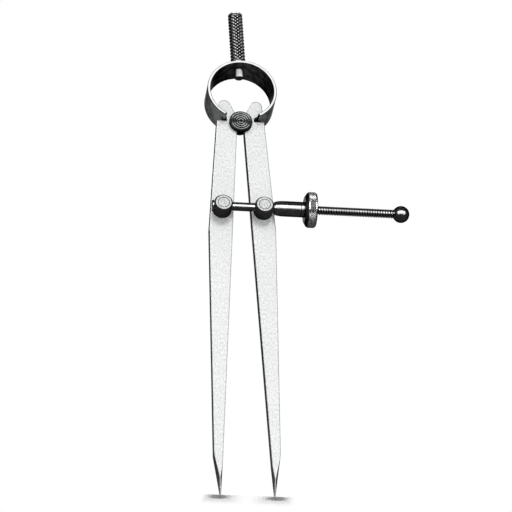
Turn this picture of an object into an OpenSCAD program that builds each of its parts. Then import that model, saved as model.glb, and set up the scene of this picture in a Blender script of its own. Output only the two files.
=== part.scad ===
// Spring divider: two pointed legs held on a spool by a bow spring, set apart by a screw and a nut.
// X runs to the right along the screw, Y from front to back, Z up along the handle.
// Sizes are written from the fulcrum, the axis of the spool. The part's origin is the middle of the grip.

/* [Legs] */
// Length of a leg from the fulcrum to its point
leg_length = 200; // [150:1:260]
// Width of a leg where it is widest, at the start of its taper
leg_width = 11.2; // [10.5:0.1:13]
// Width of a leg at its shoulder, under the spring
shoulder_width = 10; // [9.5:0.1:11]
// Thickness of a leg from front to back
leg_thickness = 5; // [4:0.1:6]
// Distance from the fulcrum down to the start of the taper
taper_start = 60; // [56:1:80]
// Width of a leg at the end of its taper, where the point is ground
shank_width = 4.3; // [3:0.1:6]
// Length of the ground point, on the outer side
point_length = 21; // [14:0.5:28]
// Length over which the front and back are ground to the point
point_face_length = 9; // [6:0.5:12]
// Width and thickness left at the very point
point_flat = 0.5; // [0.3:0.05:0.8]
// Turn of the bevels along the point's edges, away from the leg's sides
bevel_angle = 36; // [30:1:45]
// Gap between the inner edges when the legs are parallel
leg_gap = 3.2; // [2.4:0.1:4]
// Angle of each leg from parallel, as the divider is set
rest_angle = 3.05; // [1:0.05:8]

/* [Leg heads] */
// Height of a leg's head above the fulcrum
head_height = 12.1; // [10:0.1:13]
// Radius of the rounded head
head_radius = 2.9; // [2:0.1:3.2]
// Lean of the head's inner side, which limits how far the legs open
head_slope = 27.5; // [24:0.5:32]

/* [Bow spring] */
// Outer diameter of the bow
bow_diameter = 34; // [31:0.5:38]
// Width of the spring strip from front to back
bow_width = 14.8; // [11:0.1:18]
// Thickness of the spring strip
bow_thickness = 1.5; // [1:0.1:1.8]
// Half of the angle that the bow leaves open at the bottom
bow_gap_angle = 29; // [26:0.5:32]
// Height of the strip's ends above the fulcrum
bow_seat = 1.3; // [0.6:0.1:2]
// How far the bow sits to the right of the fulcrum
bow_offset = 0.5; // [0:0.1:0.8]

/* [Fulcrum spool] */
// Diameter of the spool's front flange
spool_diameter = 11.3; // [9:0.1:13]
// Diameter of the waist that the legs turn on
waist_diameter = 6; // [4.5:0.1:6.5]
// Thickness of the front flange
flange_thickness = 1.8; // [1.2:0.1:2.4]
// Diameter of the small flange behind the legs
back_flange_diameter = 7.4; // [7:0.1:9]
// Thickness of that flange
back_flange_thickness = 0.8; // [0.6:0.1:1.8]
// Chamfer on the edge of both flanges
spool_chamfer = 0.3; // [0.1:0.05:0.5]
// Number of rings turned into the front face
groove_count = 4; // [1:1:5]
// Depth of those rings
groove_depth = 0.12; // [0.05:0.01:0.2]
// Radius and depth of the centre mark in the front face
centre_mark = 0.5; // [0.3:0.05:0.6]

/* [Handle] */
// Diameter of the grip
handle_diameter = 7.3; // [6:0.1:9]
// Length of the grip above the bow
handle_length = 31.3; // [24:0.1:44]
// Lean of the grip to the left, about the middle of the bow
grip_lean = 2.2; // [0:0.1:4]
// Chamfer at both ends of the grip
handle_chamfer = 0.4; // [0.3:0.1:1]
// Diameter of the stud that holds the grip to the bow
stud_diameter = 3.8; // [3:0.1:4.4]
// Length of the stud inside the grip
stud_depth = 12; // [8:0.5:18]
// Length of the stud's tail inside the bow
stud_tail = 4.2; // [2:0.1:5]
// Flare of the tail, on its radius
stud_flare = 0.25; // [0.2:0.05:0.6]

/* [Swivel posts] */
// Distance from the fulcrum down to the posts
post_drop = 50.2; // [44:0.1:58]
// Diameter of a post
post_diameter = 9.1; // [8:0.1:10]
// Metal of a post in front of the screw's axis
post_cap = 3.6; // [2.8:0.1:4.5]
// Chamfer round a post's front face
post_chamfer = 0.8; // [0.3:0.1:1]
// Diameter of the ring turned into a post's front face
post_ring = 5.4; // [4:0.1:6]
// Depth of that ring
post_ring_depth = 0.15; // [0.05:0.05:0.3]
// Diameter of the stem that turns in the leg
stem_diameter = 5; // [4:0.1:6]
// Diameter of the washer behind the leg
washer_diameter = 8.2; // [7.5:0.1:9.5]
// Thickness of the washer
washer_thickness = 0.9; // [0.6:0.1:1.4]
// Height of the riveted end of a stem
rivet_height = 0.8; // [0.5:0.1:1.2]
// How far a riveted end spreads past its shank, on the radius
rivet_spread = 0.7; // [0.4:0.05:1]

/* [Adjusting screw] */
// Diameter of the screw
screw_diameter = 4.2; // [3:0.1:4.4]
// Length from the left post's axis to the middle of the ball
screw_length = 86; // [76:0.5:110]
// Diameter of the stop ball
ball_diameter = 8.2; // [6:0.1:9]
// Depth of the ball's hole, past its middle
ball_hole = 1; // [0.5:0.1:2]
// Step on the radius where the screw goes into the ball
screw_step = 0.3; // [0.2:0.05:0.5]
// Diameter of the thrust sleeve
sleeve_diameter = 7.5; // [6.5:0.1:8.5]
// Length of the thrust sleeve
sleeve_length = 12.8; // [10:0.1:18]
// Length of the sleeve's rounded nose
nose_length = 5; // [3:0.1:6]
// Radius lost at the end of the nose
nose_drop = 1.1; // [0.4:0.1:1.3]
// Diameter of the knurled nut
nut_diameter = 17.2; // [14:0.1:20]
// Width of the nut's knurled rim
nut_rim = 4.1; // [3:0.1:6]
// Length of the nut's cone, between its hub and its rim
nut_cone = 1.5; // [1:0.1:4]
// Length of the nut's hub
nut_hub = 1.8; // [0.5:0.1:3]
// Step from the nut's hub to its cone, on the radius
nut_step = 2.7; // [0.5:0.1:3]
// Chamfer on both edges of the rim
nut_chamfer = 0.45; // [0.2:0.05:0.8]

/* [Fits] */
// Radial clearance of a shaft that turns or slides
running_clearance = 0.08; // [0.03:0.01:0.1]
// Gap between flat faces that move past each other
face_clearance = 0.1; // [0.05:0.01:0.2]
// Gap between the strip's ends and the legs' slots
slot_clearance = 0.35; // [0.25:0.05:0.5]
// Gap between the sleeve and the face of the leg behind it
sleeve_clearance = 0.25; // [0.2:0.05:0.5]

/* [Hidden] */
$fn = 96;

// Directions: a point of a leg's own drawing, where the inner edge is upright, and the same point at rest
function at_rest(p) = [p[0] * cos(rest_angle) - p[1] * sin(rest_angle),
                       p[0] * sin(rest_angle) + p[1] * cos(rest_angle)];
function in_leg(p) = [p[0] * cos(rest_angle) + p[1] * sin(rest_angle),
                      -p[0] * sin(rest_angle) + p[1] * cos(rest_angle)];

// Bow spring
bow_radius = bow_diameter / 2;
bow_inside = bow_radius - bow_thickness;
bow_centre = bow_seat + bow_radius * cos(bow_gap_angle);
bow_top = bow_centre + bow_radius;
bow_end_outer = [bow_radius * sin(bow_gap_angle) + bow_offset, bow_seat];
bow_end_inner = [bow_inside * sin(bow_gap_angle) - bow_offset, bow_centre - bow_inside * cos(bow_gap_angle)];

// Legs, in their own drawing
inner_edge = leg_gap / 2;
outer_edge = inner_edge + leg_width;
face = leg_thickness / 2;
waist_seat = waist_diameter / 2 + running_clearance;
slot_floor = in_leg(bow_end_outer)[1] - slot_clearance;
slot_end = in_leg(bow_end_inner)[0] - slot_clearance;
slope_start = sqrt(pow(waist_seat, 2) - pow(inner_edge, 2));
head_centre = [inner_edge + (head_height - head_radius - slope_start) * tan(head_slope)
                   + head_radius / cos(head_slope),
               head_height - head_radius];
head_tangent = head_centre + head_radius * [-cos(head_slope), sin(head_slope)];

// Handle and its stud
grip_reach = bow_radius + handle_length / 2;
grip_middle = [bow_offset - grip_reach * sin(grip_lean), 0, bow_centre + grip_reach * cos(grip_lean)];
handle_radius = handle_diameter / 2;
saddle_depth = bow_radius - sqrt(pow(bow_radius, 2) - pow(handle_radius, 2));
stud_radius = stud_diameter / 2;
tail_radius = stud_radius + stud_flare;
tail_seat = bow_centre + sqrt(pow(bow_inside, 2) - pow(tail_radius, 2));
cup_radius = stud_radius * 0.6;
cup_depth = stud_flare;

// Posts and the screw's line
post_leg_place = [inner_edge + leg_width / 2, -post_drop];
post_place = at_rest(post_leg_place);
post_radius = post_diameter / 2;
stem_radius = stem_diameter / 2;
screw_radius = screw_diameter / 2;
sleeve_radius = sleeve_diameter / 2;
screw_front = sleeve_radius + sleeve_clearance;
screw_y = -face - screw_front;
screw_z = post_place[1];
stem_end = -leg_thickness - face_clearance - washer_thickness;

// Places along the screw
screw_left = -post_place[0] - post_radius;
ball_middle = -post_place[0] + screw_length;
spigot_radius = screw_radius - screw_step;
ball_radius = ball_diameter / 2;
sleeve_left = post_place[0] + post_radius + face_clearance;
nut_left = sleeve_left + sleeve_length + face_clearance;
nut_radius = nut_diameter / 2;
nut_face = nut_radius - nut_chamfer;
nose_steps = 6;
groove_pitch = spool_diameter / 2 / (groove_count + 1);

// Move a piece from the fulcrum to the part's own origin
module in_frame() {
    translate(-grip_middle) children();
}

// Set a piece of the grip on the bow, with its lean
module on_bow() {
    in_frame() translate([bow_offset, 0, bow_centre]) rotate([0, -grip_lean, 0])
        translate([0, 0, -bow_centre]) children();
}

// Give a drawing in the front plane a depth, half in front and half behind
module plate(depth) {
    rotate([90, 0, 0]) linear_extrude(height = depth, center = true) children();
}

// Turn a drawing, radius by distance, about a line that points to the front
module turned_to_front() {
    rotate([90, 0, 0]) rotate_extrude() children();
}

// Turn a drawing, radius by distance, about the screw's line
module turned_on_screw() {
    translate([0, screw_y, screw_z]) rotate([0, 90, 0]) rotate_extrude() children();
}

// A hole along the screw's line, right through a post
module screw_hole(radius) {
    translate([0, screw_y, screw_z])
        rotate([0, 90, 0])
            cylinder(r = radius, h = 4 * (post_place[0] + post_radius), center = true);
}

module handle() {
    color("dimgray") on_bow() difference() {
        translate([0, 0, bow_top - saddle_depth]) rotate_extrude() polygon([
            [0, 0],
            [handle_radius - handle_chamfer, 0],
            [handle_radius - handle_chamfer, saddle_depth],
            [handle_radius, saddle_depth + handle_chamfer],
            [handle_radius, saddle_depth + handle_length - handle_chamfer],
            [handle_radius - handle_chamfer, saddle_depth + handle_length],
            [0, saddle_depth + handle_length]
        ]);
        translate([0, 0, bow_centre]) rotate([90, 0, 0])
            cylinder(r = bow_radius, h = 2 * handle_diameter, center = true);
        translate([0, 0, bow_centre]) cylinder(r = stud_radius, h = bow_radius + stud_depth);
    }
}

// The stud is pressed into the grip, passes through the bow and ends in a flared, cupped tail
module handle_stud() {
    color("lightgray") on_bow() translate([0, 0, tail_seat]) rotate_extrude() polygon([
        [0, cup_depth - stud_tail],
        [cup_radius, -stud_tail],
        [tail_radius - stud_flare / 2, -stud_tail],
        [tail_radius, stud_flare / 2 - stud_tail],
        [stud_radius, 0],
        [stud_radius, bow_top + stud_depth - tail_seat],
        [0, bow_top + stud_depth - tail_seat]
    ]);
}

module bow_spring() {
    color("darkslategray") difference() {
        in_frame() translate([bow_offset, 0, bow_centre]) plate(bow_width) difference() {
            circle(r = bow_radius);
            circle(r = bow_inside);
            polygon([[0, 0],
                     [-bow_diameter * tan(bow_gap_angle), -bow_diameter],
                     [bow_diameter * tan(bow_gap_angle), -bow_diameter]]);
        }
        on_bow() translate([0, 0, bow_centre]) cylinder(r = stud_radius + running_clearance, h = bow_diameter);
    }
}

// Two flanges keep the legs on the waist. The front flange has rings turned into its face.
module fulcrum_spool() {
    waist_end = face + face_clearance;
    front = waist_end + flange_thickness;
    back = waist_end + back_flange_thickness;
    flange = spool_diameter / 2;
    back_flange = back_flange_diameter / 2;
    rings = [for (i = [1 : groove_count])
             for (step = [[-0.25, 0], [0, -groove_depth], [0.25, 0]])
             [i * groove_pitch + step[0] * groove_pitch, front + step[1]]];
    color("dimgray") in_frame() turned_to_front() polygon(concat(
        [[0, -back], [back_flange - spool_chamfer, -back], [back_flange, spool_chamfer - back],
         [back_flange, -waist_end], [waist_diameter / 2, -waist_end], [waist_diameter / 2, waist_end],
         [flange, waist_end], [flange, front - spool_chamfer], [flange - spool_chamfer, front]],
        [for (i = [len(rings) - 1 : -1 : 0]) rings[i]],
        [[centre_mark, front], [0, front - centre_mark]]));
}

// Front outline of the right leg below its slot, with the inner edge upright
module bar_outline() {
    point_start = -(leg_length - point_length);
    polygon([
        [inner_edge, slot_floor],
        [inner_edge, -leg_length],
        [inner_edge + point_flat, -leg_length],
        [inner_edge + shank_width, point_start],
        [outer_edge, -taper_start],
        [inner_edge + shoulder_width, slot_floor]
    ]);
}

// Front outline of the neck, which rises from the bar between the spool and the slot
module neck_outline() {
    head_side = head_centre[0] + head_radius;
    polygon([
        [inner_edge, slot_floor - slot_clearance],
        [inner_edge, slope_start],
        head_tangent,
        head_centre,
        [head_side, head_centre[1]],
        [head_side, slot_floor],
        [slot_end, slot_floor],
        [slot_end, slot_floor - slot_clearance]
    ]);
}

// The slot that takes the end of the spring: all that lies outside the bow's inner side
module slot_outline() {
    difference() {
        translate([slot_end, slot_floor]) square([leg_width, head_height]);
        intersection_for(side = [-1, 1])
            translate(in_leg([side * bow_offset, bow_centre])) circle(r = bow_inside - slot_clearance);
    }
}

// The front and back of a leg, seen from the side, with the wedge of the ground point
module leg_side() {
    point_start = -(leg_length - point_face_length);
    polygon([
        [-face, head_height + leg_width],
        [-face, point_start],
        [-point_flat / 2, -leg_length],
        [point_flat / 2, -leg_length],
        [face, point_start],
        [face, head_height + leg_width]
    ]);
}

// All that lies outside a bevel at the point: a plane that leaves the very point and meets a corner of the bar
// at a height. The corner's distance to the side is given from the point's middle line.
module outside_bevel(turn, corner, height) {
    start = point_flat / 2;
    slope = (corner * cos(bevel_angle) + face * sin(bevel_angle) - start) / height;
    top = 1.2 * point_length;
    far = start + 2 * slope * top + leg_width;
    translate([inner_edge + point_flat / 2, 0, -leg_length]) rotate([0, 0, turn]) rotate([90, 0, 0])
        linear_extrude(height = 4 * leg_width, center = true)
            polygon([[start - slope, -1], [start + slope * top, top], [far, top], [far, -1]]);
}

// The outer bevels begin just under the bend of the outline, the inner ones lower down
module outside_bevels() {
    outer_height = 0.95 * point_length;
    inner_height = 0.75 * point_length;
    outer_corner = point_flat / 2 + (shank_width - point_flat) * outer_height / point_length;
    for (side = [-1, 1]) {
        outside_bevel(side * bevel_angle, outer_corner, outer_height);
        outside_bevel(180 + side * bevel_angle, point_flat / 2, inner_height);
    }
}

module leg() {
    rotate([0, -rest_angle, 0]) difference() {
        intersection() {
            union() {
                plate(leg_thickness) bar_outline();
                plate(leg_thickness) neck_outline();
                plate(leg_thickness) translate(head_centre) circle(r = head_radius);
            }
            rotate([90, 0, 90]) linear_extrude(height = 4 * outer_edge, center = true) leg_side();
        }
        plate(2 * leg_thickness) circle(r = waist_seat);
        plate(2 * leg_thickness) slot_outline();
        outside_bevels();
        translate([post_leg_place[0], 0, post_leg_place[1]]) rotate([90, 0, 0])
            cylinder(r = stem_radius + running_clearance, h = 2 * leg_thickness, center = true);
    }
}

module left_leg() {
    color("gainsboro") in_frame() mirror([1, 0, 0]) leg();
}

module right_leg() {
    color("gainsboro") in_frame() leg();
}

// A post swivels on its stem, which is riveted over a washer behind the leg
module post(side, hole_radius) {
    top = screw_front + post_cap;
    rivet_radius = stem_radius + rivet_spread;
    difference() {
        translate([side * post_place[0], -face, post_place[1]]) turned_to_front() polygon([
            [0, stem_end - rivet_height],
            [rivet_radius - rivet_height / 2, stem_end - rivet_height],
            [rivet_radius, stem_end - rivet_height / 2],
            [rivet_radius, stem_end],
            [stem_radius, stem_end],
            [stem_radius, face_clearance],
            [post_radius, face_clearance],
            [post_radius, top - post_chamfer],
            [post_radius - post_chamfer, top],
            [post_ring / 2 + post_ring_depth, top],
            [post_ring / 2, top - post_ring_depth],
            [post_ring / 2 - post_ring_depth, top],
            [0, top]
        ]);
        screw_hole(hole_radius);
    }
}

module left_post() {
    color("silver") in_frame() post(-1, screw_radius);
}

module right_post() {
    color("silver") in_frame() post(1, screw_radius + running_clearance);
}

module post_washer(side) {
    translate([side * post_place[0], -face, post_place[1]]) turned_to_front()
        translate([stem_radius, stem_end])
            square([washer_diameter / 2 - stem_radius, washer_thickness]);
}

module left_post_washer() {
    color("gray") in_frame() post_washer(-1);
}

module right_post_washer() {
    color("gray") in_frame() post_washer(1);
}

// The screw is riveted over the left post, runs free through the right post and ends in a step for the ball
module adjusting_screw() {
    rivet_radius = screw_radius + rivet_spread;
    ball_left = ball_middle - sqrt(pow(ball_radius, 2) - pow(spigot_radius, 2));
    color("gray") in_frame() turned_on_screw() polygon([
        [0, screw_left - rivet_height],
        [rivet_radius - rivet_height / 2, screw_left - rivet_height],
        [rivet_radius, screw_left - rivet_height / 2],
        [rivet_radius, screw_left],
        [screw_radius, screw_left],
        [screw_radius, ball_left],
        [spigot_radius, ball_left],
        [spigot_radius, ball_middle + ball_hole],
        [0, ball_middle + ball_hole]
    ]);
}

module stop_ball() {
    color("dimgray") in_frame() difference() {
        translate([ball_middle, screw_y, screw_z]) sphere(r = ball_radius);
        translate([ball_middle - ball_diameter, screw_y, screw_z]) rotate([0, 90, 0])
            cylinder(r = spigot_radius, h = ball_diameter + ball_hole);
    }
}

// The sleeve's rounded nose bears on the right post, and the nut turns against its other end
module thrust_sleeve() {
    bore = screw_radius + running_clearance;
    nose = [for (i = [0 : nose_steps])
            let (turn = 90 * i / nose_steps)
            [sleeve_radius - nose_drop * (1 - sin(turn)), sleeve_left + nose_length * (1 - cos(turn))]];
    color("dimgray") in_frame() turned_on_screw() polygon(concat(
        [[bore, sleeve_left]],
        nose,
        [[sleeve_radius, sleeve_left + sleeve_length], [bore, sleeve_left + sleeve_length]]));
}

module adjusting_nut() {
    bore = screw_radius + running_clearance;
    cone_left = nut_left + nut_hub;
    rim_left = cone_left + nut_cone;
    rim_right = rim_left + nut_rim;
    color("dimgray") in_frame() turned_on_screw() polygon([
        [bore, nut_left],
        [sleeve_radius, nut_left],
        [sleeve_radius, cone_left],
        [sleeve_radius + nut_step, cone_left],
        [nut_face, rim_left - nut_chamfer],
        [nut_radius, rim_left],
        [nut_radius, rim_right - nut_chamfer],
        [nut_face, rim_right],
        [bore, rim_right]
    ]);
}

handle();
handle_stud();
bow_spring();
fulcrum_spool();
left_leg();
right_leg();
left_post();
right_post();
left_post_washer();
right_post_washer();
adjusting_screw();
stop_ball();
thrust_sleeve();
adjusting_nut();
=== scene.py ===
"""Looks of the spring divider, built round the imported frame.

Lengths are written in millimetres and turned into metres where a mesh is made.
The row's axes hold throughout: X to the right, Y to the back, Z up.
"""
import math

import bmesh
import bpy
from mathutils import Matrix, Vector


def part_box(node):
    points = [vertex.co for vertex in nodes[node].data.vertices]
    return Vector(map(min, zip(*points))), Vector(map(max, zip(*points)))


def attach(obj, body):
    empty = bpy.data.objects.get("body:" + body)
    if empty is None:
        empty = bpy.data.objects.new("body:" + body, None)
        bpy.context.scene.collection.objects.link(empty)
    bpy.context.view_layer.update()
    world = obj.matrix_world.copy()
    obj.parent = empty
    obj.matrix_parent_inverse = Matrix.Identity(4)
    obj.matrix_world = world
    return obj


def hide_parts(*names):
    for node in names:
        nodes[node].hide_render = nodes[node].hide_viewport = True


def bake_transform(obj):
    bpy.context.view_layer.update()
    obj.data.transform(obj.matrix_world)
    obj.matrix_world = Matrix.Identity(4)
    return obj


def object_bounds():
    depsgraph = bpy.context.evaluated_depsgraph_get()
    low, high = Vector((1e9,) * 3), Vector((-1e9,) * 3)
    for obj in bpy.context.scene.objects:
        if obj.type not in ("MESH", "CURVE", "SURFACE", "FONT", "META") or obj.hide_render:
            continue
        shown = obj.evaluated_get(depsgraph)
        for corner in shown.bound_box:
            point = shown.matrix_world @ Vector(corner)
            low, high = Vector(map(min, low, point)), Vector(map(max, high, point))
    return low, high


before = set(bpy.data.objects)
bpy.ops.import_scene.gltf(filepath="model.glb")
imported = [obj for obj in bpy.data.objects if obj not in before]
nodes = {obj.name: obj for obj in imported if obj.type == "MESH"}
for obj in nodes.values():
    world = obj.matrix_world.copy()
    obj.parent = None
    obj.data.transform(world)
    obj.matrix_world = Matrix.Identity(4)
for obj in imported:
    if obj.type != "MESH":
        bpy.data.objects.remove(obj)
cad_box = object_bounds()

MM = 0.001
TURN = 2 * math.pi

# Places taken from the frame


def middle(node):
    low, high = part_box(node)
    return (low + high) / 2 / MM


def spread(node):
    low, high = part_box(node)
    return (high - low) / MM


fulcrum = middle("fulcrum_spool")
screw_line = middle("stop_ball")
floor_level = cad_box[0].z / MM

# Bow spring
bow_radius = spread("bow_spring").x / 2
bow_width = spread("bow_spring").y
bow_middle = Vector((middle("bow_spring").x, 0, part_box("bow_spring")[1].z / MM - bow_radius))
bow_thickness = 1.5
bow_gap_angle = math.radians(29)
strip_ease = 0.3

# Grip, along its own axis from its middle
grip_lean = math.radians(-2.2)
grip_radius = 3.65
grip_half = 15.65
grip_chamfer = 0.4
grip_knurl_depth = 0.4
grip_foot = 2.8
grip_collar = 1.0
grip_collar_step = 0.05
stud_radius = 1.9
stud_depth = 12.0

# Nut, along its own axis from its left face
nut_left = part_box("adjusting_nut")[0].x / MM
nut_radius = spread("adjusting_nut").z / 2
nut_width = spread("adjusting_nut").x
nut_hub = 1.8
nut_hub_radius = 3.75
nut_step = 2.7
nut_cone = 1.5
nut_chamfer = 0.45
nut_bore = 2.18
nut_knurl_depth = 0.25

# Screw, along its own axis from its left end
screw_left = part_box("adjusting_screw")[0].x / MM
screw_length = spread("adjusting_screw").x
screw_radius = 2.1
rivet_radius = 2.8
rivet_height = 0.8
thread_pitch = 1.25
thread_depth = 0.5
thread_start = 36.0

# Shares of a pitch that the flat crest and the flat root take up
thread_crest = 0.55
thread_root = 0.1

# Mesh helpers


def add_piece(name, points, faces, place=Matrix.Identity(4), sharp=35, second=()):
    """A new object from points in millimetres, smooth except where faces meet at more than the sharp angle.
    second holds the numbers of the faces that take the piece's second material."""
    mesh = bpy.data.meshes.new(name)
    mesh.from_pydata([tuple(Vector(p) * MM) for p in points], [], faces)
    for number in second:
        mesh.polygons[number].material_index = 1
    tidy = bmesh.new()
    tidy.from_mesh(mesh)
    bmesh.ops.recalc_face_normals(tidy, faces=tidy.faces)
    tidy.to_mesh(mesh)
    tidy.free()
    for polygon in mesh.polygons:
        polygon.use_smooth = True
    mesh.set_sharp_from_angle(angle=math.radians(sharp))
    piece = bpy.data.objects.new(name, mesh)
    bpy.context.scene.collection.objects.link(piece)
    piece.matrix_world = place
    return piece


class Skin:
    """Points and faces of a turned piece, built ring by ring about its own Z axis.
    flanks holds the numbers of the faces that slope down from a knurl's teeth."""

    def __init__(self):
        self.points = []
        self.faces = []
        self.flanks = []

    def ring(self, radius, height, count, phase=0.0):
        """A ring of points. radius and height are numbers, or functions of the angle."""
        start = len(self.points)
        for step in range(count):
            angle = TURN * (step + phase) / count
            out = radius(angle) if callable(radius) else radius
            up = height(angle) if callable(height) else height
            self.points.append((out * math.cos(angle), out * math.sin(angle), up))
        return list(range(start, start + count))

    def tip(self, height):
        self.points.append((0.0, 0.0, height))
        return [len(self.points) - 1]

    def join(self, lower, upper):
        """Faces between two rings of the same count, or between a ring and a tip."""
        count = max(len(lower), len(upper))
        for step in range(count):
            after = (step + 1) % count
            corners = [lower[step % len(lower)], lower[after % len(lower)],
                       upper[after % len(upper)], upper[step % len(upper)]]
            self.faces.append(list(dict.fromkeys(corners)))

    def chain(self, rings):
        for lower, upper in zip(rings, rings[1:]):
            self.join(lower, upper)

    def knurl(self, radius, depth, around, low, high, rows, crest):
        """A diamond knurl between two heights. crest is the share of a tooth's width that is flat on top.
        Returns the lowest and the highest ring, of 2 * around points each."""
        groove = radius - depth
        half_row = (high - low) / (2 * rows)
        crossings = [self.ring(groove, low + half_row * row, around, 0.5 * (row % 2))
                     for row in range(2 * rows + 1)]
        ends = []
        for row in (0, 2 * rows):
            between = self.ring(groove, low + half_row * row, around, 0.5)
            ends.append([point for pair in zip(crossings[row], between) for point in pair])
        for row in range(2 * rows + 1):
            shift = row % 2
            for step in range(around):
                left = crossings[row][step]
                right = crossings[row][(step + 1) % around]
                beside = (step + shift) % around
                top = crossings[row + 1][beside] if row < 2 * rows else None
                bottom = crossings[row - 1][beside] if row > 0 else None
                if top is None or bottom is None:
                    end = ends[0] if row == 0 else ends[1]
                    self.flanks.append(len(self.faces))
                    self.faces.append([left, end[2 * step + 1], right, bottom if top is None else top])
                else:
                    self.tooth([left, bottom, right, top], radius, crest)
        return ends[0], ends[1]

    def tooth(self, base, radius, crest):
        """One tooth of a knurl: four sloping flanks and a flat on top."""
        corners = [Vector(self.points[number]) for number in base]
        heart = sum(corners, Vector()) / 4
        top = []
        for corner in corners:
            point = heart.lerp(corner, crest)
            out = radius / math.hypot(point.x, point.y)
            self.points.append((point.x * out, point.y * out, point.z))
            top.append(len(self.points) - 1)
        for step in range(4):
            after = (step + 1) % 4
            self.flanks.append(len(self.faces))
            self.faces.append([base[step], base[after], top[after], top[step]])
        self.faces.append(top)


along_x = Matrix(((0, 0, 1, 0), (0, 1, 0, 0), (-1, 0, 0, 0), (0, 0, 0, 1)))


def on_screw(x):
    """The place of a piece whose own Z axis runs along the screw, from x."""
    return Matrix.Translation(Vector((x, screw_line.y, screw_line.z)) * MM) @ along_x


# Knurled grip, on the bow, with the bore for its stud


def build_grip():
    skin = Skin()
    around = 11
    rows = 15
    tooth_crest = 0.3
    ring_count = 2 * around
    low_end = -grip_half
    bore_end = low_end + stud_depth
    neck = grip_radius - grip_chamfer
    neck_height = 0.3
    neck_top = low_end + neck_height
    face_middle = (stud_radius + neck) / 2
    plain = grip_radius - grip_knurl_depth
    collar = grip_radius - grip_collar_step
    knurl_low = low_end + grip_foot
    knurl_high = grip_half - grip_collar
    foot_ease = 0.2
    collar_ease = 0.15

    def saddle(radius):
        def height(angle):
            across = radius * math.cos(angle)
            return low_end - bow_radius + math.sqrt(bow_radius ** 2 - across ** 2)
        return height

    low_ring, high_ring = skin.knurl(grip_radius, grip_knurl_depth, around, knurl_low, knurl_high, rows,
                                     tooth_crest)
    skin.chain([
        skin.tip(bore_end),
        skin.ring(stud_radius, bore_end, ring_count),
        skin.ring(stud_radius, saddle(stud_radius), ring_count),
        skin.ring(face_middle, saddle(face_middle), ring_count),
        skin.ring(neck, saddle(neck), ring_count),
        skin.ring(neck, neck_top, ring_count),
        skin.ring(plain, neck_top + plain - neck, ring_count),
        skin.ring(plain, knurl_low - foot_ease, ring_count),
        low_ring,
    ])
    skin.chain([
        high_ring,
        skin.ring(collar, knurl_high + collar_ease, ring_count),
        skin.ring(collar, grip_half - grip_chamfer, ring_count),
        skin.ring(neck, grip_half, ring_count),
        skin.tip(grip_half),
    ])
    lean = Matrix.Rotation(grip_lean, 3, "Y")
    points = [lean @ Vector(point) for point in skin.points]
    return add_piece("knurled_grip", points, skin.faces, second=skin.flanks)


# Knurled nut


def build_nut():
    skin = Skin()
    around = 52
    rows = 4
    tooth_crest = 0.2
    ring_count = 2 * around
    edge = nut_radius - nut_knurl_depth
    face = nut_radius - nut_chamfer
    rim_left = nut_hub + nut_cone
    rim_ease = 0.1
    right_ease = 0.15
    right_drop = 0.2
    bore_ease_left = 0.25
    bore_ease_right = 0.35
    hub_ease = 0.2
    step_radius = nut_hub_radius + nut_step
    step_ease = 0.1
    step_rise = 0.08
    low_ring, high_ring = skin.knurl(nut_radius, nut_knurl_depth, around, rim_left + rim_ease,
                                     nut_width - nut_chamfer - rim_ease, rows, tooth_crest)
    skin.chain([
        high_ring,
        skin.ring(edge - right_ease, nut_width - right_drop, ring_count),
        skin.ring(face - right_ease, nut_width, ring_count),
        skin.ring(nut_bore + bore_ease_right, nut_width, ring_count),
        skin.ring(nut_bore, nut_width - bore_ease_right, ring_count),
        skin.ring(nut_bore, bore_ease_left, ring_count),
        skin.ring(nut_bore + bore_ease_left, 0, ring_count),
        skin.ring(nut_hub_radius - hub_ease, 0, ring_count),
        skin.ring(nut_hub_radius, hub_ease, ring_count),
        skin.ring(nut_hub_radius, nut_hub, ring_count),
        skin.ring(step_radius - step_ease, nut_hub, ring_count),
        skin.ring(step_radius, nut_hub + step_rise, ring_count),
        skin.ring(face - rim_ease, rim_left - nut_chamfer, ring_count),
        skin.ring(edge - rim_ease, rim_left - rim_ease, ring_count),
        low_ring,
    ])
    return add_piece("knurled_nut", skin.points, skin.faces, on_screw(nut_left), second=skin.flanks)


# Screw: riveted end, plain rod between the posts, then the thread up to the ball


def build_screw():
    skin = Skin()
    ring_count = 32
    steps_per_pitch = 8
    rivet_face = rivet_radius - 0.75
    rivet_shoulder = rivet_radius - 0.3
    rivet_shoulder_height = 0.1
    rod_end = thread_start - 0.1
    thread_length = screw_length - thread_start
    rings = [
        skin.tip(0),
        skin.ring(rivet_face, 0, ring_count),
        skin.ring(rivet_shoulder, rivet_shoulder_height, ring_count),
        skin.ring(rivet_radius, rivet_height / 2, ring_count),
        skin.ring(rivet_radius, rivet_height, ring_count),
        skin.ring(screw_radius, rivet_height, ring_count),
        skin.ring(screw_radius, rod_end, ring_count),
    ]
    count = round(thread_length / thread_pitch * steps_per_pitch)
    for step in range(count + 1):
        along = thread_start + thread_length * step / count
        fade = min(1.0, (along - thread_start) / thread_pitch, (screw_length - along) / thread_pitch)

        def thread(angle, along=along, fade=fade):
            turn = (along / thread_pitch - angle / TURN) % 1.0
            flank = min(1.0, max(0.0, (abs(2 * turn - 1) - thread_crest) / (1 - thread_root - thread_crest)))
            return screw_radius - thread_depth * fade * flank
        rings.append(skin.ring(thread, along, ring_count))
    rings.append(skin.tip(screw_length))
    skin.chain(rings)
    return add_piece("threaded_screw", skin.points, skin.faces, on_screw(screw_left), sharp=50)


# Bow spring: one strip, in two halves that meet under the grip


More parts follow.
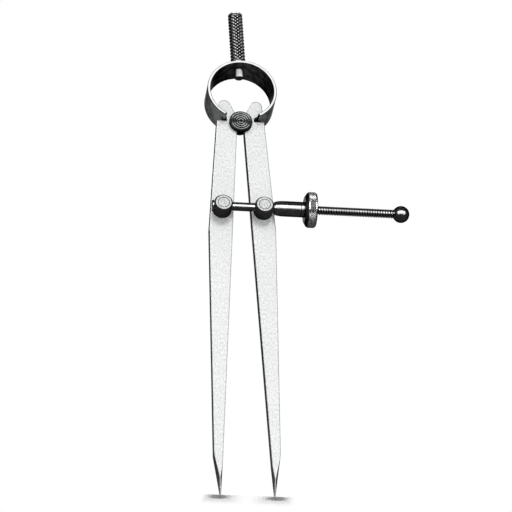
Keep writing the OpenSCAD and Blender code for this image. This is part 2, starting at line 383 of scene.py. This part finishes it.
def strip_section():
    """Outline of the strip with eased corners, as distances outwards and backwards from its middle line."""
    corner_steps = 5
    straight_out = bow_thickness / 2 - strip_ease
    straight_back = bow_width / 2 - strip_ease
    outline = []
    for quarter in range(4):
        side_out = 1 if quarter in (0, 3) else -1
        side_back = 1 if quarter in (0, 1) else -1
        for step in range(corner_steps + 1):
            angle = TURN / 4 * (quarter + step / corner_steps)
            outline.append((side_out * straight_out + strip_ease * math.cos(angle),
                            side_back * straight_back + strip_ease * math.sin(angle)))
    return outline


def build_bow_half(name, side):
    """Half of the bow, from under the grip to its slightly thinner and narrower end in a leg's slot."""
    outline = strip_section()
    count = len(outline)
    steps = 72
    sweep = math.pi - bow_gap_angle
    middle_radius = bow_radius - bow_thickness / 2
    end_thickness = 0.88
    end_width = 0.98
    points = []
    for step in range(steps + 1):
        angle = sweep * step / steps
        thin, narrow = (end_thickness, end_width) if step == steps else (1, 1)
        for out, back in outline:
            radius = middle_radius + out * thin
            points.append(bow_middle + Vector((side * radius * math.sin(angle), back * narrow,
                                               radius * math.cos(angle))))
    faces = []
    for base in range(0, steps * count, count):
        for edge in range(count):
            after = (edge + 1) % count
            faces.append([base + edge, base + after, base + count + after, base + count + edge])
    faces.append(list(range(count)))
    faces.append(list(range(steps * count, steps * count + count)))
    return add_piece(name, points, faces, sharp=40)


# Materials


def new_material(name, edge=1.0):
    """A metal. edge is how much of the glancing reflection it keeps."""
    material = bpy.data.materials.new(name)
    material.use_nodes = True
    tree = material.node_tree
    shader = tree.nodes["Principled BSDF"]
    shader.inputs["Metallic"].default_value = 1.0
    shader.inputs["Specular Tint"].default_value = (edge, edge, edge, 1)
    return material, tree, shader


def add_node(tree, kind, **settings):
    made = tree.nodes.new(kind)
    for key, value in settings.items():
        setattr(made, key, value)
    return made


def noise(tree, where, scale, stretch=(1, 1, 1), detail=3.0):
    """Noise over the surface. scale is in details per millimetre."""
    mapping = add_node(tree, "ShaderNodeMapping")
    mapping.inputs["Scale"].default_value = [s / MM for s in stretch]
    tree.links.new(where, mapping.inputs["Vector"])
    texture = add_node(tree, "ShaderNodeTexNoise")
    texture.inputs["Scale"].default_value = scale
    texture.inputs["Detail"].default_value = detail
    tree.links.new(mapping.outputs["Vector"], texture.inputs["Vector"])
    return texture.outputs["Fac"]


def spread_values(tree, value, low, high, from_low=0.3, from_high=0.7):
    """A value from one span laid onto another, smoothly."""
    ranger = add_node(tree, "ShaderNodeMapRange", interpolation_type="SMOOTHSTEP")
    ranger.inputs["From Min"].default_value = from_low
    ranger.inputs["From Max"].default_value = from_high
    ranger.inputs["To Min"].default_value = low
    ranger.inputs["To Max"].default_value = high
    tree.links.new(value, ranger.inputs["Value"])
    return ranger.outputs["Result"]


def mix_colours(tree, factor, first, second):
    """A blend of two colours, each a tuple or a socket. The mix node keeps them in numbered sockets."""
    mixer = add_node(tree, "ShaderNodeMix", data_type="RGBA")
    tree.links.new(factor, mixer.inputs["Factor"])
    for socket, colour in ((mixer.inputs[6], first), (mixer.inputs[7], second)):
        if isinstance(colour, tuple):
            socket.default_value = (*colour, 1.0)
        else:
            tree.links.new(colour, socket)
    return mixer.outputs[2]


def grey(level):
    """A steel grey of that level, very slightly cool."""
    return (level * 0.99, level, level * 1.005)


def add_bump(tree, shader, height, strength, distance, normal=None):
    bump = add_node(tree, "ShaderNodeBump")
    bump.inputs["Strength"].default_value = strength
    bump.inputs["Distance"].default_value = distance * MM
    tree.links.new(height, bump.inputs["Height"])
    if normal is not None:
        tree.links.new(normal, bump.inputs["Normal"])
    tree.links.new(bump.outputs["Normal"], shader.inputs["Normal"])


def front_share(tree, normal, low, high):
    """1 where the surface faces the front or the back, 0 where it faces up, down or sideways."""
    split = add_node(tree, "ShaderNodeSeparateXYZ")
    tree.links.new(normal, split.inputs["Vector"])
    size = add_node(tree, "ShaderNodeMath", operation="ABSOLUTE")
    tree.links.new(split.outputs["Y"], size.inputs[0])
    return spread_values(tree, size.outputs[0], 0.0, 1.0, low, high)


def side_shaded_steel(name, faces, side_shade_tones, rough, grain, limits, stretch=(1, 1, 1), metal=1.0, ease=0.0):
    """Steel with painted shade: faces that look to the front or back keep the bright tones, while faces
    turned up, down or sideways get the dark tones and lose their shine, in place of the dark reflections they
    would show.
    limits says how far a face may turn from the front, and ease how far the edges are broken, which also
    paints a dark line along them."""
    material, tree, shader = new_material(name)
    shader.inputs["Specular IOR Level"].default_value = 0.0
    where = add_node(tree, "ShaderNodeTexCoord")
    normal = where.outputs["Normal"]
    if ease > 0:
        eased = add_node(tree, "ShaderNodeBevel", samples=8)
        eased.inputs["Radius"].default_value = ease * MM
        normal = eased.outputs["Normal"]
    fine = noise(tree, where.outputs["Object"], grain, stretch, detail=4.0)
    broad = noise(tree, where.outputs["Object"], scale=0.06)
    bright = mix_colours(tree, spread_values(tree, fine, 0.0, 1.0), grey(faces[0]), grey(faces[1]))
    # Painted shade: faces turned away from the front and back take these dark tones
    dark = mix_colours(tree, spread_values(tree, broad, 0.0, 1.0), grey(side_shade_tones[0]), grey(side_shade_tones[1]))
    facing = front_share(tree, normal, *limits)
    tree.links.new(spread_values(tree, facing, 0.0, metal, 0.0, 1.0), shader.inputs["Metallic"])
    tree.links.new(mix_colours(tree, facing, dark, bright), shader.inputs["Base Color"])
    tree.links.new(spread_values(tree, broad, rough[0], rough[1]), shader.inputs["Roughness"])
    add_bump(tree, shader, fine, strength=0.12, distance=0.02, normal=normal if ease > 0 else None)
    return material


def speckle(tree, shader, where, scale, tones, rough):
    """Give a shader a fine speckle in its tone and its gloss, and return the speckle."""
    stain = noise(tree, where, scale, detail=4.0)
    colour = mix_colours(tree, spread_values(tree, stain, 0.0, 1.0), grey(tones[0]), grey(tones[1]))
    tree.links.new(colour, shader.inputs["Base Color"])
    tree.links.new(spread_values(tree, stain, rough[0], rough[1]), shader.inputs["Roughness"])
    return stain


def turned_steel(name, tones, rough, marks, rings=None, bands=None, centre=(0, 0, 0), strength=0.05,
                 edge=0.2):
    """Steel with fine tool marks, as rings about an axis or as bands along one.
    marks says how close they lie, with about three to the millimetre at 1."""
    material, tree, shader = new_material(name, edge)
    where = add_node(tree, "ShaderNodeTexCoord")
    mapping = add_node(tree, "ShaderNodeMapping")
    mapping.inputs["Location"].default_value = [-c for c in centre]
    mapping.inputs["Scale"].default_value = [1 / MM] * 3
    tree.links.new(where.outputs["Object"], mapping.inputs["Vector"])
    if rings is None:
        wave = add_node(tree, "ShaderNodeTexWave", wave_type="BANDS", bands_direction=bands)
    else:
        wave = add_node(tree, "ShaderNodeTexWave", wave_type="RINGS", rings_direction=rings)
    wave.inputs["Scale"].default_value = marks
    wave.inputs["Distortion"].default_value = 0.6
    wave.inputs["Detail"].default_value = 2.0
    tree.links.new(mapping.outputs["Vector"], wave.inputs["Vector"])
    speckle(tree, shader, where.outputs["Object"], scale=0.35, tones=tones, rough=rough)
    add_bump(tree, shader, wave.outputs["Fac"], strength, distance=0.01)
    return material


def plain_steel(name, tones, rough, grain, edge=0.2):
    """Steel with no direction to its marks. grain is the details per millimetre."""
    material, tree, shader = new_material(name, edge)
    where = add_node(tree, "ShaderNodeTexCoord")
    stain = speckle(tree, shader, where.outputs["Object"], scale=grain, tones=tones, rough=rough)
    add_bump(tree, shader, stain, strength=0.15, distance=0.02)
    return material


def dress(piece, *materials):
    """Give a piece its materials. Clearing puts every face back on the first material,
    so only pieces that came with one are cleared."""
    if len(piece.data.materials) > 0:
        piece.data.materials.clear()
    for material in materials:
        piece.data.materials.append(material)


# The legs, posts and stud carry painted shade on faces turned away from the front and back
leg_steel = side_shaded_steel("leg_steel", faces=(0.6, 0.83), side_shade_tones=(0.025, 0.06), rough=(0.22, 0.32), grain=1.6,
                        limits=(0.86, 0.99), stretch=(1, 1, 0.5), metal=0.5, ease=0.8)
post_steel = side_shaded_steel("post_steel", faces=(0.42, 0.86), side_shade_tones=(0.008, 0.022), rough=(0.2, 0.3), grain=1.4,
                         limits=(0.72, 0.99))
stud_steel = side_shaded_steel("stud_steel", faces=(0.85, 0.97), side_shade_tones=(0.01, 0.03), rough=(0.5, 0.6), grain=1.0,
                         limits=(0.5, 0.8), metal=0.1)
spool_steel = turned_steel("spool_steel", tones=(0.007, 0.011), rough=(0.18, 0.24), marks=2.2, rings="Y",
                           centre=fulcrum)
rod_steel = turned_steel("rod_steel", tones=(0.018, 0.027), rough=(0.08, 0.14), marks=2.0, bands="Z")
sleeve_steel = turned_steel("sleeve_steel", tones=(0.016, 0.024), rough=(0.1, 0.16), marks=1.2, bands="X",
                            centre=screw_line)
ball_steel = turned_steel("ball_steel", tones=(0.016, 0.024), rough=(0.1, 0.16), marks=1.2, bands="X",
                          centre=screw_line)
strip_steel = turned_steel("strip_steel", tones=(0.02, 0.045), rough=(0.3, 0.4), marks=0.8, bands="Y",
                           strength=0.2)
strip_outer_steel = turned_steel("strip_outer_steel", tones=(0.12, 0.18), rough=(0.3, 0.4), marks=0.8,
                                 bands="Y", strength=0.2)
strip_edge_steel = turned_steel("strip_edge_steel", tones=(0.9, 0.97), rough=(0.2, 0.3), marks=1.4, bands="Y",
                                strength=0.2, edge=1.0)
grip_steel = plain_steel("grip_steel", tones=(0.1, 0.16), rough=(0.14, 0.22), grain=0.8)
# Painted shade: the grip's knurl flanks take a darker tone than its flat crests, for the shade in the grooves
grip_flank_shade_steel = plain_steel("grip_flank_shade_steel", tones=(0.02, 0.03), rough=(0.16, 0.24), grain=0.8)
nut_steel = plain_steel("nut_steel", tones=(0.012, 0.024), rough=(0.16, 0.24), grain=0.8)
nut_flank_steel = plain_steel("nut_flank_steel", tones=(0.045, 0.105), rough=(0.2, 0.3), grain=1.2)

# New pieces, each on its body

grip = build_grip()
dress(grip, grip_steel, grip_flank_shade_steel)
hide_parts("handle")
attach(grip, "head")

nut = build_nut()
dress(nut, nut_steel, nut_flank_steel)
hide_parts("adjusting_nut")
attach(nut, "nut")

screw = build_screw()
dress(screw, rod_steel)
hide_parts("adjusting_screw")
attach(screw, "left_post")

# How squarely a face looks to the front or back on the strip's edges, and outwards on its outer side
edge_facing = 0.99
outer_facing = 0.9
for side, leg_body, half_name in ((-1, "left_leg", "bow_half_left"), (1, "right_leg", "bow_half_right")):
    half = build_bow_half(half_name, side)
    dress(half, strip_steel, strip_edge_steel, strip_outer_steel)
    for polygon in half.data.polygons:
        outward = (polygon.center - bow_middle * MM) * Vector((1, 0, 1))
        if abs(polygon.normal.y) > edge_facing:
            polygon.material_index = 1
        elif polygon.normal.dot(outward.normalized()) > outer_facing:
            polygon.material_index = 2
    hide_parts("bow_spring")
    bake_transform(half)

# Nodes that keep their own shape

finishes = {
    "handle_stud": stud_steel,
    "fulcrum_spool": spool_steel,
    "left_leg": leg_steel,
    "right_leg": leg_steel,
    "left_post": post_steel,
    "right_post": post_steel,
    "left_post_washer": leg_steel,
    "right_post_washer": leg_steel,
    "thrust_sleeve": sleeve_steel,
    "stop_ball": ball_steel,
}
for name, finish in finishes.items():
    dress(nodes[name], finish)

# Camera at the photograph's viewing angle

aim = Vector((7.173, 0, -121.484))
camera_distance = 1500.0
camera_turn = math.radians(-8.0)
camera_rise = math.radians(-29.7)
camera_roll = math.radians(-1.307)
camera_lens = 221.9
sensor_width = 36.0
farthest_seen = 20000.0
ahead = Vector((-math.sin(camera_turn) * math.cos(camera_rise),
                math.cos(camera_turn) * math.cos(camera_rise),
                -math.sin(camera_rise)))
level = Vector((math.cos(camera_turn), math.sin(camera_turn), 0))
upright = level.cross(ahead)
right = math.cos(camera_roll) * level + math.sin(camera_roll) * upright
up = math.cos(camera_roll) * upright - math.sin(camera_roll) * level
camera_data = bpy.data.cameras.new("camera")
camera_data.sensor_width = sensor_width
camera_data.lens = camera_lens
camera_data.clip_end = farthest_seen * MM
camera = bpy.data.objects.new("camera", camera_data)
bpy.context.scene.collection.objects.link(camera)
place = Matrix((right, up, -ahead)).transposed().to_4x4()
place.translation = (aim - camera_distance * ahead) * MM
camera.matrix_world = place
bpy.context.scene.camera = camera

# Floor


def add_sheet(name, left, right, front, back, place):
    """A flat sheet with its own origin at a place, so that it can fade out from there."""
    corners = [(left, front, 0), (right, front, 0), (right, back, 0), (left, back, 0)]
    mesh = bpy.data.meshes.new(name)
    mesh.from_pydata([tuple(Vector(c) * MM) for c in corners], [], [list(range(len(corners)))])
    sheet = bpy.data.objects.new(name, mesh)
    sheet.location = place * MM
    bpy.context.scene.collection.objects.link(sheet)
    return sheet


def floor_material(name, tone, near, far, flatness=1.0, under=False):
    """Pale floor that fades out into the white backdrop between two distances, sooner to the front and back
    by the flatness. It is seen only from above, or where under is set, only from below, lit through."""
    material = bpy.data.materials.new(name)
    material.use_nodes = True
    tree = material.node_tree
    surface = tree.nodes["Principled BSDF"]
    surface.inputs["Base Color"].default_value = (tone, tone, tone, 1)
    surface.inputs["Roughness"].default_value = 0.9
    surface.inputs["Specular IOR Level"].default_value = 0.0
    where = add_node(tree, "ShaderNodeTexCoord")
    shape = add_node(tree, "ShaderNodeVectorMath", operation="MULTIPLY")
    shape.inputs[1].default_value = (1, flatness, 1)
    tree.links.new(where.outputs["Object"], shape.inputs[0])
    away = add_node(tree, "ShaderNodeVectorMath", operation="LENGTH")
    tree.links.new(shape.outputs["Vector"], away.inputs[0])
    fade = spread_values(tree, away.outputs["Value"], 0.0, 1.0, near * MM, far * MM)
    turned_away = add_node(tree, "ShaderNodeNewGeometry").outputs["Backfacing"]
    if under:
        turned_away = spread_values(tree, turned_away, 1.0, 0.0, 0.0, 1.0)
        surface = add_node(tree, "ShaderNodeBsdfTranslucent")
        surface.inputs["Color"].default_value = (tone, tone, tone, 1)
    hidden = add_node(tree, "ShaderNodeMath", operation="MAXIMUM")
    tree.links.new(fade, hidden.inputs[0])
    tree.links.new(turned_away, hidden.inputs[1])
    glass = add_node(tree, "ShaderNodeBsdfTransparent")
    mixer = add_node(tree, "ShaderNodeMixShader")
    tree.links.new(hidden.outputs[0], mixer.inputs["Fac"])
    tree.links.new(surface.outputs["BSDF"], mixer.inputs[1])
    tree.links.new(glass.outputs["BSDF"], mixer.inputs[2])
    tree.links.new(mixer.outputs["Shader"], tree.nodes["Material Output"].inputs["Surface"])
    return material


floor_half = 1200
floor_place = Vector((fulcrum.x, 0, floor_level))
floor = add_sheet("floor", -floor_half, floor_half, -floor_half, floor_half, floor_place)
floor.data.materials.append(floor_material("floor", tone=0.9, near=60, far=floor_half))

# Light


def add_lamp(name, place, target, size, power):
    data = bpy.data.lights.new(name, "AREA")
    data.shape = "RECTANGLE"
    data.size = size[0] * MM
    data.size_y = size[1] * MM
    data.energy = power
    lamp = bpy.data.objects.new(name, data)
    lamp.location = Vector(place) * MM
    lamp.rotation_mode = "QUATERNION"
    lamp.rotation_quaternion = (Vector(target) - Vector(place)).to_track_quat("-Z", "Y")
    bpy.context.scene.collection.objects.link(lamp)
    return lamp


def gather(name, pieces):
    """A new collection of some pieces."""
    group = bpy.data.collections.new(name)
    for piece in pieces:
        group.objects.link(piece)
    return group


def shine_on(lamp, *pieces, blockers=None):
    """Keep a lamp's light to some pieces, and the lamp out of sight.
    Where blockers are given, nothing else stands in its way."""
    lamp.light_linking.receiver_collection = gather(lamp.name, pieces)
    if blockers is not None:
        lamp.light_linking.blocker_collection = gather(f"{lamp.name}_blockers", blockers)
    lamp.visible_camera = False


tool_middle = (0, 0, -120)
grip_middle = (0, 0, 0)
add_lamp("key_lamp", (-500, -900, 700), tool_middle, size=(500, 500), power=4)
add_lamp("fill_lamp", (700, -800, -100), tool_middle, size=(500, 500), power=2)
add_lamp("top_lamp", (5, -20, 700), (5, -20, 0), size=(200, 200), power=2.5)

# Lamps that shine only on the dark turned pieces, the grip or the stud
turned = [nut, screw, nodes["fulcrum_spool"], nodes["thrust_sleeve"], nodes["stop_ball"]]
window = add_lamp("window_lamp", (0, -1000, -153), (0, 0, -153), size=(2400, 1040), power=500)
shine_on(window, *turned)
grip_lamp = add_lamp("grip_lamp", (250, -880, -430), grip_middle, size=(900, 250), power=14)
shine_on(grip_lamp, grip)
stud_lamp = add_lamp("stud_lamp", (0, -880, -430), (0, 0, -20), size=(300, 250), power=6)
shine_on(stud_lamp, nodes["handle_stud"])
band_lamp = add_lamp("band_lamp", (75, -700, 480), grip_middle, size=(1800, 400), power=20)
shine_on(band_lamp, grip)
back_lamp = add_lamp("back_lamp", (-600, 1000, 200), (0, 0, -100), size=(800, 800), power=20)
shine_on(back_lamp, grip, *turned)

# Light from below on the legs, which the posts do not block
legs = [nodes["left_leg"], nodes["right_leg"]]
leg_lamp = add_lamp("leg_lamp", (0, -1000, -1300), tool_middle, size=(500, 500), power=12)
shine_on(leg_lamp, *legs, blockers=legs)

# The camera looks up from below the floor.
# A sheet just under each point lets it see the shadow of that leg from there.
# The middle of the shadow lies a little inside the outermost side of the leg.
shade_reach = 60
shade_front = -2
shade_drop = 0.02
shade_inset = 1
shade_lamp_height = 300
shade_lamp_shift = 7
for side, leg in ((-1, "left_leg"), (1, "right_leg")):
    low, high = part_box(leg)
    outermost = (low.x if side < 0 else high.x) / MM
    shade_middle = Vector((outermost - side * shade_inset, 0, floor_level))
    left_side, right_side = sorted((fulcrum.x - shade_middle.x, side * shade_reach))
    sheet_place = shade_middle - Vector((0, 0, shade_drop))
    shade = add_sheet(f"shade_{leg}", left_side, right_side, shade_front, shade_reach, sheet_place)
    shade_finish = floor_material(f"shade_{leg}", tone=0.25, near=7, far=24, flatness=2.6, under=True)
    shade.data.materials.append(shade_finish)
    lamp_place = shade_middle + Vector((-side * shade_lamp_shift, 0, shade_lamp_height))
    lamp = add_lamp(f"shade_lamp_{leg}", lamp_place, shade_middle, size=(28, 8), power=3.9)
    shine_on(lamp, shade, blockers=[nodes[leg]])

# White surroundings, seen at full strength and lighting at a lesser one
surround_light = 0.65
world = bpy.data.worlds.new("world")
bpy.context.scene.world = world
world.use_nodes = True
tree = world.node_tree
background = tree.nodes["Background"]
background.inputs["Color"].default_value = (1, 1, 1, 1)
path = add_node(tree, "ShaderNodeLightPath")
seen = add_node(tree, "ShaderNodeMath", operation="MAXIMUM")
tree.links.new(path.outputs["Is Camera Ray"], seen.inputs[0])
tree.links.new(path.outputs["Is Glossy Ray"], seen.inputs[1])
shown = add_node(tree, "ShaderNodeMath", operation="MAXIMUM")
tree.links.new(seen.outputs[0], shown.inputs[0])
tree.links.new(path.outputs["Is Transmission Ray"], shown.inputs[1])
strength = add_node(tree, "ShaderNodeMapRange")
strength.inputs["To Min"].default_value = surround_light
strength.inputs["To Max"].default_value = 1.0
tree.links.new(shown.outputs[0], strength.inputs["Value"])
tree.links.new(strength.outputs["Result"], background.inputs["Strength"])

bpy.context.scene.view_settings.view_transform = "Standard"
